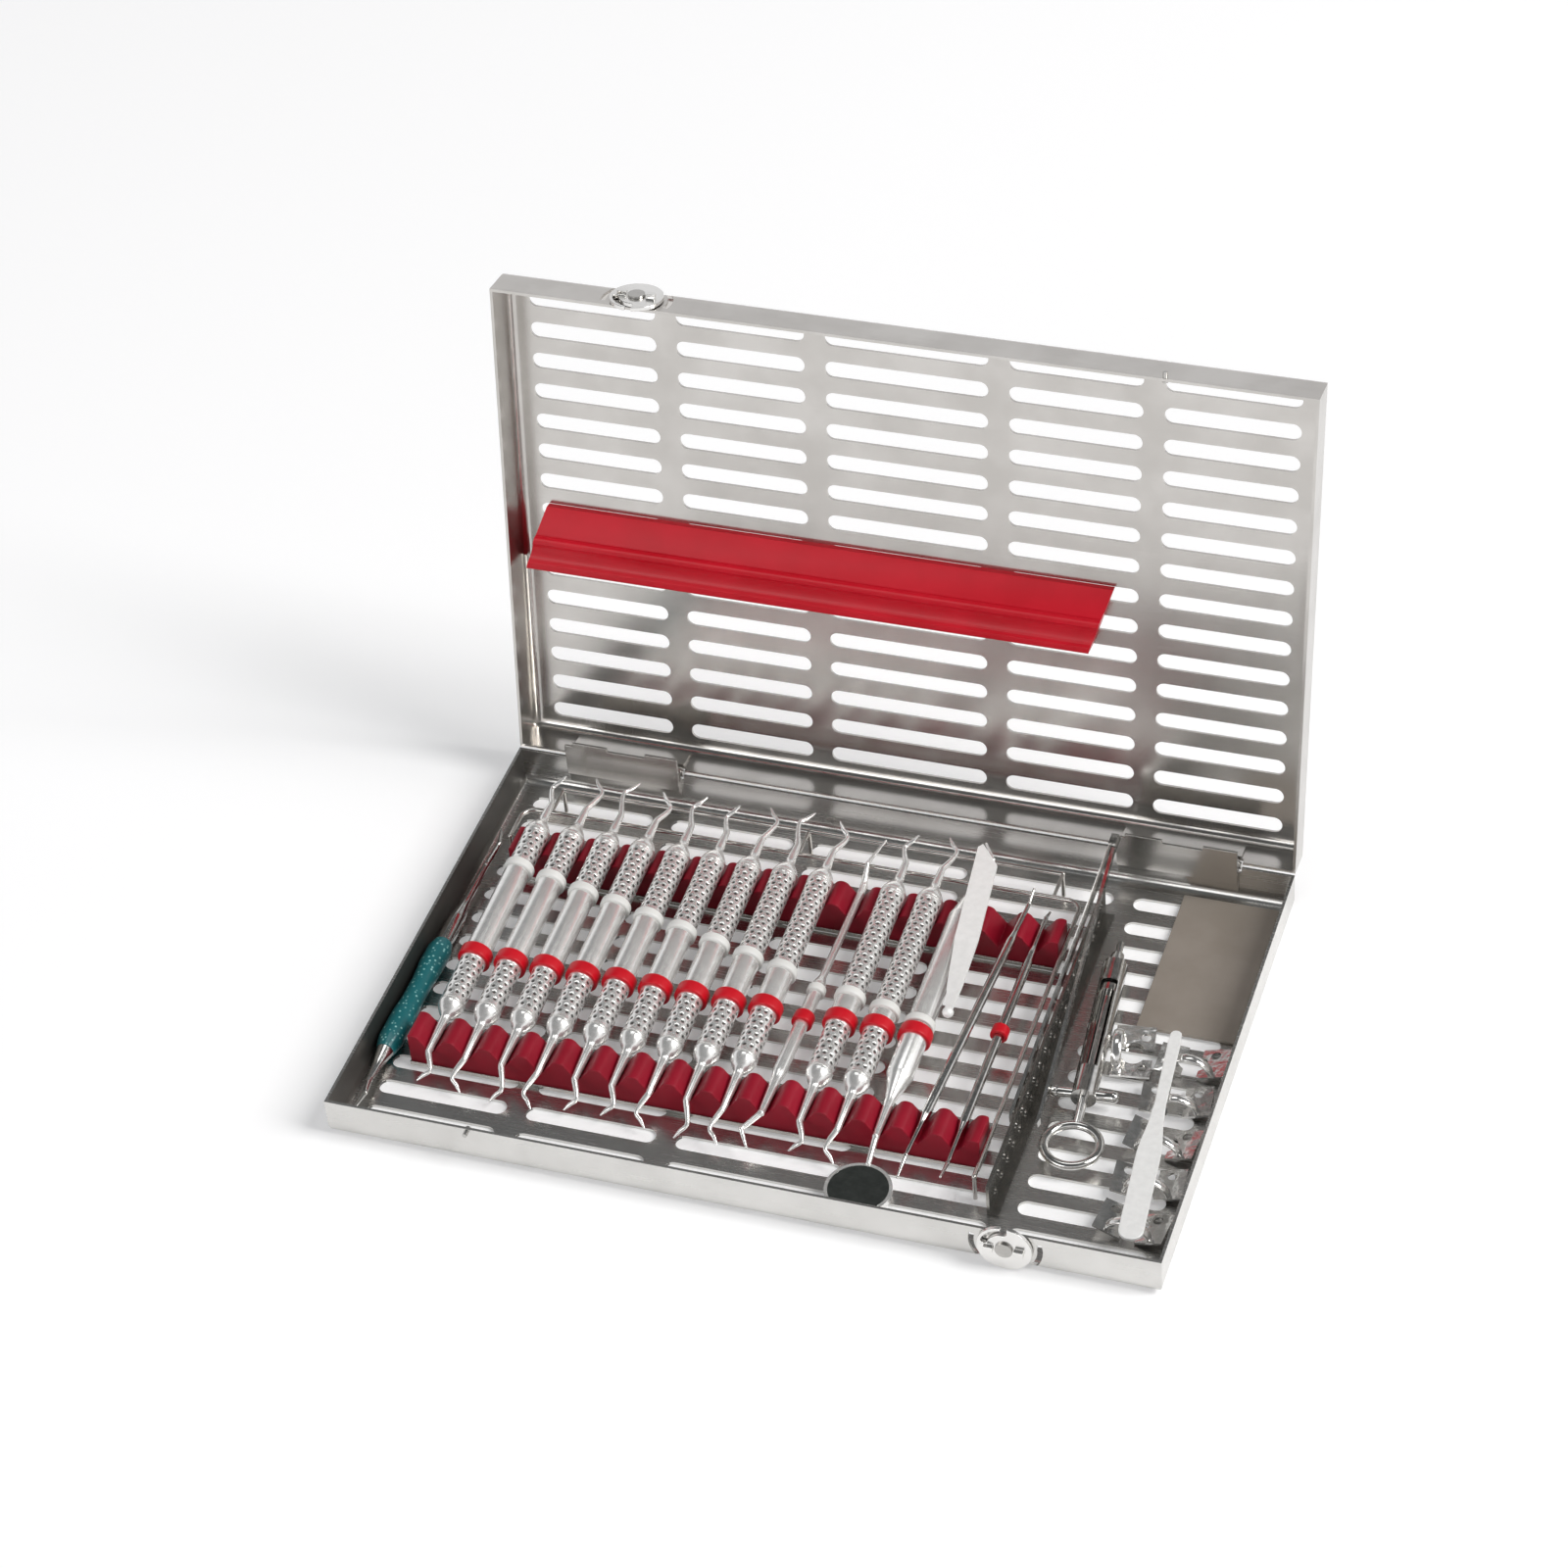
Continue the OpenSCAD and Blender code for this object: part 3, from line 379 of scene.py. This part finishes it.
LATCH_STEEL = steel("latch_steel_look", (0.76, 0.75, 0.73), (0.86, 0.85, 0.83), (0.18, 0.28))
RIVET_STEEL = steel("rivet_steel_look", (0.42, 0.41, 0.39), (0.55, 0.54, 0.52), (0.18, 0.34))
# The handles' dimples get painted shade, darker where they are deeper
HANDLE_STEEL = dotted_grip(
    "handle_steel_look", (0.85, 0.845, 0.83), (0.94, 0.935, 0.92), (0.20, 0.30),
    hollow_shade_colour=(0.13, 0.125, 0.12),
)
TOOL_STEEL = polished("tool_steel_look", (0.55, 0.54, 0.52), (0.70, 0.69, 0.67), (0.08, 0.2))
PILE_STEEL = dented("pile_steel_look", (0.70, 0.69, 0.67), (0.90, 0.89, 0.87), (0.10, 0.22))
BRIGHT_STEEL = polished(
    "bright_steel_look", (0.88, 0.88, 0.87), (0.94, 0.94, 0.93), (0.46, 0.58), metallic=0.35,
)
GLASS = polished("mirror_glass_look", (0.24, 0.255, 0.235), (0.32, 0.335, 0.31), (0.03, 0.06))
DARK_SILICONE = silicone("dark_silicone_look", (0.22, 0.002, 0.013), (0.30, 0.003, 0.019), 0.42)
BRIGHT_SILICONE = silicone(
    "bright_silicone_look", (0.50, 0.002, 0.012), (0.59, 0.004, 0.018), 0.36,
)
RING_SILICONE = silicone("ring_silicone_look", (0.50, 0.004, 0.012), (0.58, 0.007, 0.018), 0.32)
PALE_SILICONE = silicone("pale_silicone_look", (0.68, 0.68, 0.66), (0.78, 0.78, 0.76), 0.38)
RESIN = speckled_resin("teal_resin_look", flake=(0.30, 0.62, 0.60), ground=(0.003, 0.125, 0.14))


# Meshes

def mesh_object(name, bm, material):
    mesh = bpy.data.meshes.new(name)
    bm.to_mesh(mesh)
    bm.free()
    mesh.materials.append(material)
    made = bpy.data.objects.new(name, mesh)
    bpy.context.scene.collection.objects.link(made)
    return made


def add_piece(name, bm, material, *nodes, sharp=SHARP_ANGLE):
    """A finished mesh that stands for CAD nodes and hides them, on the body of the first."""
    piece = mesh_object(name, bm, material)
    piece.data.shade_smooth()
    piece.data.set_sharp_from_angle(angle=math.radians(sharp))
    body = frame["nodes"][nodes[0]]["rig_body"]
    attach(piece, body)
    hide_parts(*nodes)
    return piece


def bevel(piece, width, segments=2):
    modifier = piece.modifiers.new("soft_edges", "BEVEL")
    modifier.width = width * MM
    modifier.segments = segments
    modifier.limit_method = "ANGLE"
    modifier.angle_limit = math.radians(SHARP_ANGLE)
    modifier.harden_normals = True
    modifier.use_clamp_overlap = True


def node_mesh(*nodes):
    """The welded mesh of some CAD nodes."""
    bm = bmesh.new()
    for node in nodes:
        bm.from_mesh(frame["nodes"][node].data)
    bmesh.ops.remove_doubles(bm, verts=bm.verts, dist=WELD * MM)
    return bm


def flatten(bm):
    """Joins up flat areas into single faces."""
    limit = math.radians(FLAT_ANGLE)
    bmesh.ops.dissolve_limit(bm, angle_limit=limit, verts=bm.verts, edges=bm.edges)


def dress(node, material, width, segments=2, reshape=None):
    """A CAD node's own shape with softened edges and a better material."""
    bm = node_mesh(node)
    flatten(bm)
    if reshape:
        reshape(bm)
    bevel(add_piece("fine_" + node, bm, material, node), width, segments)


def join_ring(bm, low, high):
    """Faces between two rings of vertices."""
    for i in range(len(low)):
        j = (i + 1) % len(low)
        bm.faces.new((low[i], low[j], high[j], high[i]))


def lathe(bm, profile, place, sides):
    """Turns a closed profile of (radius, height) round Z, then moves it into place."""
    rings = []
    for radius, height in profile:
        ring = []
        for i in range(sides):
            turn = 2 * math.pi * i / sides
            at = Vector((radius * math.cos(turn), radius * math.sin(turn), height)) * MM
            ring.append(bm.verts.new(place @ at))
        rings.append(ring)
    for low, high in zip(rings, rings[1:] + rings[:1]):
        join_ring(bm, low, high)
    bmesh.ops.recalc_face_normals(bm, faces=bm.faces)


def smooth_line(points, steps):
    """Catmull-Rom curve through points, each a tuple of numbers of any length."""
    line = []
    padded = [points[0]] + list(points) + [points[-1]]
    for i in range(1, len(padded) - 2):
        for step in range(steps):
            t = step / steps
            line.append(tuple(
                0.5 * (
                    2 * b
                    + (c - a) * t
                    + (2 * a - 5 * b + 4 * c - d) * t * t
                    + (3 * b - a - 3 * c + d) * t ** 3
                )
                for a, b, c, d in zip(*padded[i - 1:i + 3])
            ))
    line.append(tuple(points[-1]))
    return line


def sweep(bm, stations, place, sides, relief):
    """A closed tube along stations of (x, y, z, radius across, radius along); it never twists.

    The depth of the relief is kept on its vertices as the attribute that paints shade into the
    hollows.
    """
    hollow = bm.verts.layers.float.new(HOLLOW)
    centres = [Vector(station[:3]) for station in stations]
    side = Vector((1, 0, 0))
    rings = []
    for i, centre in enumerate(centres):
        ahead = centres[min(i + 1, len(centres) - 1)] - centres[max(i - 1, 0)]
        heading = ahead.normalized()
        side = (side - heading * side.dot(heading)).normalized()
        up = heading.cross(side)
        ring = []
        for k in range(sides):
            turn = 2 * math.pi * k / sides
            sunk = relief(centre.z, turn)
            wide = stations[i][3] - sunk
            high = stations[i][4] - sunk
            at = centre + side * math.cos(turn) * wide + up * math.sin(turn) * high
            vert = bm.verts.new(place @ (at * MM))
            vert[hollow] = sunk / DIMPLE_DEPTH
            ring.append(vert)
        rings.append(ring)
    for low, high in zip(rings, rings[1:]):
        join_ring(bm, low, high)
    bm.faces.new(list(reversed(rings[0])))
    bm.faces.new(rings[-1])


# Instruments

def handle_radius(k):
    return SLIM_R if k == SLIM else GRIP_R


def pale_y(k):
    return PALE_Y - PALE_SLANT * k


def seat_z(radius):
    """Height of the axis of a round bar that rests in a notch."""
    return NOTCH_Z + (radius + SEAT_GAP) / math.sin(NOTCH_HALF_ANGLE)


def in_notch(k):
    """Places what is drawn along Z, with the front end of the handle at the origin, in notch k."""
    rear_r = SLIM_SHANK_R if k == SLIM else GRIP_R
    slope = math.atan((seat_z(rear_r) - seat_z(NECK_R)) / RAIL_STEP)
    at = Vector((FIRST_X + k * PITCH, FRONT_Y, seat_z(NECK_R))) * MM
    return Matrix.Translation(at) @ Matrix.Rotation(slope - math.pi / 2, 4, "X")


def grips(k):
    """The two textured stretches of a handle, from and to along its axis."""
    pale = pale_y(k) - FRONT_Y
    red = RING_Y - FRONT_Y
    return (
        (CONE_L + GROOVE_W + GRIP_FROM_GROOVE, red - RING_W / 2 - GRIP_FROM_RED),
        (pale + PALE_W / 2 + GRIP_FROM_PALE, HANDLE_L - CONE_L - GROOVE_W - GRIP_FROM_GROOVE),
    )


def dimples(k):
    """Depth of the staggered round dimples at a height along the handle and a turn about it."""
    zones = grips(k)
    share = 2 * math.pi / DIMPLES_ROUND

    def depth(z, turn):
        for start, end in zones:
            if start <= z <= end:
                count = round((end - start) / DIMPLE_STEP)
                step = (end - start) / count
                row = min(count - 1, int((z - start) / step))
                along = z - start - (row + 0.5) * step
                shifted = turn / share + 0.5 * (row % 2)
                around = (shifted - round(shifted)) * share * handle_radius(k)
                off = math.hypot(along, around) / DIMPLE_R
                return DIMPLE_DEPTH * max(0.0, 1 - off * off) ** DIMPLE_CURVE
        return 0.0

    return depth


def handle_stations(k):
    """Bullet-nosed cones and a groove at both ends, and a shallow step down into each grip."""
    r = handle_radius(k)
    end_form = [(z, NECK_R + rise) for z, rise in NECK]
    end_form += [(NOSE_AT + z, NECK_R + (r - NECK_R) * share) for z, share in NOSE]
    end_form += [(CONE_L + z, r - depth) for z, depth in GROOVE]
    profile = list(end_form)
    for start, end in grips(k):
        profile += [(start - GRIP_RAMP, r), (start - GRIP_RAMP / 2, r - GRIP_STEP / 2)]
        count = round((end - start) / GRIP_SPACING)
        profile += [(start + (end - start) * i / count, r - GRIP_STEP) for i in range(count + 1)]
        profile += [(end + GRIP_RAMP / 2, r - GRIP_STEP / 2), (end + GRIP_RAMP, r)]
    profile += [(HANDLE_L - z, radius) for z, radius in reversed(end_form)]
    return [(0, 0, z, radius, radius) for z, radius in profile]


def tip_line(start, elbow, point):
    """Smooth end from a shank: it thins to the elbow, then flattens into a blade."""
    blade = [e + (p - e) * BLADE_AT for e, p in zip(elbow, point)]
    points = [
        (*start, SHANK_R, SHANK_R), (*elbow, ELBOW_R, ELBOW_R),
        (*blade, *BLADE_R), (*point, *POINT_R),
    ]
    return smooth_line(points, CURVE_STEPS)


def instrument_line(k):
    """Stations of a whole instrument, from its front point to its rear one; down is along Y."""
    hand, drop, front_reach, rise, rear_reach = BENDS[k % len(BENDS)]
    foot = -FRONT_RUN
    head = HANDLE_L + REAR_RUN
    front = tip_line(
        (0, 0, foot),
        (hand * FRONT_ELBOW[0], drop * FRONT_ELBOW[1], foot - front_reach * ELBOW_AT),
        (-hand * POINT_X, drop, foot - front_reach),
    )
    rear = tip_line(
        (0, 0, head),
        (-hand * REAR_ELBOW[0], rise * REAR_ELBOW[1], head + rear_reach * ELBOW_AT),
        (hand * POINT_X, -rise, head + rear_reach),
    )
    return front[::-1] + handle_stations(k) + rear


for k, node in enumerate(INSTRUMENTS):
    if node not in SOLID_FORMS:
        bm = bmesh.new()
        sweep(bm, instrument_line(k), in_notch(k), HANDLE_SIDES, dimples(k))
        add_piece("fine_" + node, bm, HANDLE_STEEL, node, sharp=HANDLE_SHARP)

for node in SOLID_FORMS:
    dress(node, HANDLE_STEEL, 0.1)
dress("mirror_glass", GLASS, 0.05)


# Accessory bay

def tip_jaws(bm):
    """Tips the clamps' jaws up at their outer edges and draws their bows out into straps."""
    for vert in bm.verts:
        at = vert.co / MM
        x, y, turn, slope = min(CLAMPS, key=lambda c: (at.x - c[0]) ** 2 + (at.y - c[1]) ** 2)
        turned = Matrix.Rotation(math.radians(turn), 4, "Z")
        place = Matrix.Translation((x, y, CLAMP_BASE)) @ turned
        own = place.inverted() @ at
        if own.z > BOW_START:
            own.x = BOW_X + (own.x - BOW_X) * BOW_WIDENING
        own.z += slope * max(0.0, abs(own.y) - CLAMP_INNER) * (1 - own.z / CLAMP_TOP)
        vert.co = (place @ own) * MM


def spatula():
    """Flat spatula: a slim grip that widens into the blade, both ends round."""
    start = Vector(SPATULA_REAR)
    ahead = Vector(SPATULA_FRONT) - start
    length = ahead.length
    side = Vector((-ahead.y, ahead.x, 0)).normalized()
    ahead = ahead.normalized()
    rear, front = SPATULA_HALF[0][1], SPATULA_HALF[-1][1]
    edge = [(rear * (1 - math.cos(turn)), rear * math.sin(turn)) for turn in SPATULA_REAR_TURNS]
    edge += [(share * length, half) for share, half in SPATULA_HALF]
    for i in range(SPATULA_FRONT_STEPS):
        turn = math.radians(90 * i / SPATULA_FRONT_STEPS)
        edge.append((length - front * (1 - math.sin(turn)), front * math.cos(turn)))
    edge += [(along, -half) for along, half in reversed(edge)]
    bm = bmesh.new()
    base = bm.faces.new([
        bm.verts.new((start + ahead * along + side * half) * MM) for along, half in edge
    ])
    top = bmesh.ops.extrude_face_region(bm, geom=[base])["geom"]
    risen = [part for part in top if isinstance(part, bmesh.types.BMVert)]
    bmesh.ops.translate(bm, vec=(0, 0, SPATULA_T * MM), verts=risen)
    bmesh.ops.recalc_face_normals(bm, faces=bm.faces)
    bevel(add_piece("fine_cement_spatula", bm, BRIGHT_STEEL, "cement_spatula"), SPATULA_EDGE)


spatula()


# Rings

def sleeve_profile(inner, outer, width):
    """Half section of a ring whose outer edges are round."""
    half = width / 2
    low_arc, high_arc = [], []
    for i in range(EDGE_STEPS + 1):
        turn = math.radians(90 * i / EDGE_STEPS)
        out, across = RING_EDGE * math.sin(turn), RING_EDGE * math.cos(turn)
        low_arc.append((outer - RING_EDGE + out, -half + RING_EDGE - across))
        high_arc.append((outer - RING_EDGE + across, half - RING_EDGE + out))
    return [(inner, -half), *low_arc, *high_arc, (inner, half)]


for k in range(len(INSTRUMENTS)):
    r = handle_radius(k)
    for name, y, width, rise, material in (
        ("red_ring", RING_Y, RING_W, RING_RISE, RING_SILICONE),
        ("pale_ring", pale_y(k), PALE_W, PALE_RISE, PALE_SILICONE),
    ):
        bm = bmesh.new()
        place = in_notch(k) @ Matrix.Translation(Vector((0, 0, y - FRONT_Y)) * MM)
        lathe(bm, sleeve_profile(r + RING_GAP, r + rise, width), place, RING_SIDES)
        add_piece(f"{name}_{k + 1:02d}", bm, material, f"id_rings_{k + 1:02d}", sharp=RING_SHARP)


# Case and fittings

def closed_lid():
    """Takes points of the open lid to where they are with the lid shut."""
    turn = Matrix.Rotation(LID_OPEN, 4, "X")
    return Matrix.Translation(HINGE) @ turn @ Matrix.Translation(-HINGE)


def on_seam(face):
    """Whether a face stands upright in the seam between a rim and its floor."""
    centre = face.calc_center_median() / MM
    on_x = abs(abs(centre.x) - SEAM_X) < SEAM_REACH and abs(face.normal.x) > FACING
    on_y = abs(abs(centre.y) - SEAM_Y) < SEAM_REACH and abs(face.normal.y) > FACING
    return on_x or on_y


def pan(name, shell, grille, material, to_flat):
    """One pressed sheet from a rim and its perforated floor, without the seam between them."""
    bm = node_mesh(shell, grille)
    bmesh.ops.transform(bm, matrix=to_flat, verts=bm.verts)
    seam = [face for face in bm.faces if on_seam(face)]
    bmesh.ops.delete(bm, geom=seam, context="FACES_ONLY")
    bmesh.ops.transform(bm, matrix=to_flat.inverted(), verts=bm.verts)
    flatten(bm)
    bevel(add_piece(name, bm, material, shell, grille), PAN_EDGE)


pan("fine_tray", "tray_shell", "tray_grille", TRAY_STEEL, Matrix.Identity(4))
pan("fine_lid", "lid_shell", "lid_grille", LID_STEEL, closed_lid())
dress("id_plate", PLATE_STEEL, 0.25)
dress("divider_wall", DIVIDER_STEEL, 0.1)
dress("rail_channels", FITTING_STEEL, 0.15)
dress("front_rail", DARK_SILICONE, 0.8, 4)
dress("rear_rail", DARK_SILICONE, 0.8, 4)
dress("wire_rack", FITTING_STEEL, 0.05)
dress("tray_hinge_leaves", FITTING_STEEL, 0.15)
dress("lid_hinge_leaves", FITTING_STEEL, 0.15)
dress("hinge_pins", RIVET_STEEL, 0.15)
dress("tray_rivets", RIVET_STEEL, 0.15)
dress("lid_rivets", RIVET_STEEL, 0.15)
dress("hold_down_bar", BRIGHT_SILICONE, 0.4, 3)
dress("tray_latch", LATCH_STEEL, 0.2)
dress("lid_latch", LATCH_STEEL, 0.2)
dress("probe_left", TOOL_STEEL, 0.05)
dress("probe_right", TOOL_STEEL, 0.05)
dress("probe_ring", RING_SILICONE, 0.4, 3)
dress("resin_scaler", TOOL_STEEL, 0.1)
dress("resin_grip", RESIN, 0.3, 3)
dress("flat_carver", BRIGHT_STEEL, 0.25)
dress("tweezers", TOOL_STEEL, 0.15)
dress("syringe_barrel", TOOL_STEEL, 0.2)
dress("syringe_plunger", TOOL_STEEL, 0.1)
dress("dam_clamps", PILE_STEEL, 0.15, reshape=tip_jaws)


# Studio, in metres

FLOOR_REACH = 6.0
FLOOR_Z = -0.00002
FLOOR_COLOUR = (0.86, 0.86, 0.87)
FLOOR_GLOW = 0.20
HORIZON = (0.84, 0.84, 0.85)
ZENITH = (0.11, 0.114, 0.116)
# Heights on the sky's unit sphere between which the bright band turns dark
BAND_END = 0.42
DARK_START = 0.62


def floor_material():
    """Pale matt floor that glows a little where the camera or a reflection sees it."""
    material, tree, shader = new_material("floor_look")
    shader.inputs["Base Color"].default_value = (*FLOOR_COLOUR, 1)
    shader.inputs["Roughness"].default_value = 0.9
    shader.inputs["Specular IOR Level"].default_value = 0.1
    shader.inputs["Emission Color"].default_value = (1, 1, 1, 1)
    path = tree.nodes.new("ShaderNodeLightPath")
    seen = tree.nodes.new("ShaderNodeMath")
    seen.operation = "ADD"
    seen.use_clamp = True
    link(tree, path, "Is Camera Ray", seen, 0)
    link(tree, path, "Is Glossy Ray", seen, 1)
    glow = tree.nodes.new("ShaderNodeMath")
    glow.operation = "MULTIPLY"
    glow.inputs[1].default_value = FLOOR_GLOW
    link(tree, seen, "Value", glow, 0)
    link(tree, glow, "Value", shader, "Emission Strength")
    return material


def stage_floor():
    bm = bmesh.new()
    bm.faces.new([
        bm.verts.new((x * FLOOR_REACH, y * FLOOR_REACH, FLOOR_Z))
        for x, y in ((-1, -1), (1, -1), (1, 1), (-1, 1))
    ])
    floor = mesh_object("floor", bm, floor_material())


def area_light(name, at, size, watts, target=(0, 0, 0), tint=(1, 1, 1)):
    data = bpy.data.lights.new(name, "AREA")
    data.shape = "RECTANGLE"
    data.size, data.size_y = size
    data.energy = watts
    data.color = tint
    lamp = bpy.data.objects.new(name, data)
    lamp.location = at
    lamp.rotation_euler = (Vector(target) - Vector(at)).to_track_quat("-Z", "Y").to_euler()
    bpy.context.scene.collection.objects.link(lamp)


def sky():
    """A bright band at the horizon under a dark zenith."""
    world = bpy.data.worlds.new("studio")
    bpy.context.scene.world = world
    world.use_nodes = True
    tree = world.node_tree
    background = tree.nodes["Background"]
    background.inputs["Strength"].default_value = 1.0
    where = tree.nodes.new("ShaderNodeTexCoord")
    split = tree.nodes.new("ShaderNodeSeparateXYZ")
    link(tree, where, "Generated", split, "Vector")
    shades = tones(tree, split, "Z", HORIZON, ZENITH, BAND_END, DARK_START)
    link(tree, shades, "Color", background, "Color")


stage_floor()
area_light("key", (3.3, 0.15, 3.3), size=(1.7, 2.9), watts=172, tint=(1.0, 0.99, 0.97))
area_light("rear_top", (-0.10, 0.40, 1.90), size=(0.9, 0.6), watts=3.5)
area_light("front_left", (-0.90, -1.70, 0.70), size=(1.4, 0.7), watts=9, target=(0, 0.05, 0.06))
sky()


# Camera, fitted to the photograph; focal length and width of the picture in its pixels

VIEW_AZ = math.radians(21.758)
VIEW_EL = math.radians(41.397)
VIEW_ROLL = math.radians(-5.416)
VIEW_DISTANCE = 1.41334
VIEW_TARGET = Vector((-0.02335, 0.045789, 0.06))
FOCAL_PX = 4336.2
PHOTO_PX = 1600
SENSOR = 36.0
CLIP_START = 0.05


def photo_camera():
    back = Vector((
        math.sin(VIEW_AZ) * math.cos(VIEW_EL),
        -math.cos(VIEW_AZ) * math.cos(VIEW_EL),
        math.sin(VIEW_EL),
    ))
    right_level = Vector((0, 0, 1)).cross(back).normalized()
    up_level = back.cross(right_level)
    right = right_level * math.cos(VIEW_ROLL) + up_level * math.sin(VIEW_ROLL)
    up = up_level * math.cos(VIEW_ROLL) - right_level * math.sin(VIEW_ROLL)
    data = bpy.data.cameras.new("photo_camera")
    data.sensor_width = SENSOR
    data.lens = FOCAL_PX * SENSOR / PHOTO_PX
    data.clip_start = CLIP_START
    camera = bpy.data.objects.new("photo_camera", data)
    turned = Matrix((right, up, back)).transposed().to_4x4()
    camera.matrix_world = Matrix.Translation(VIEW_TARGET + back * VIEW_DISTANCE) @ turned
    bpy.context.scene.collection.objects.link(camera)
    bpy.context.scene.camera = camera


photo_camera()
bpy.context.scene.view_settings.view_transform = "Standard"
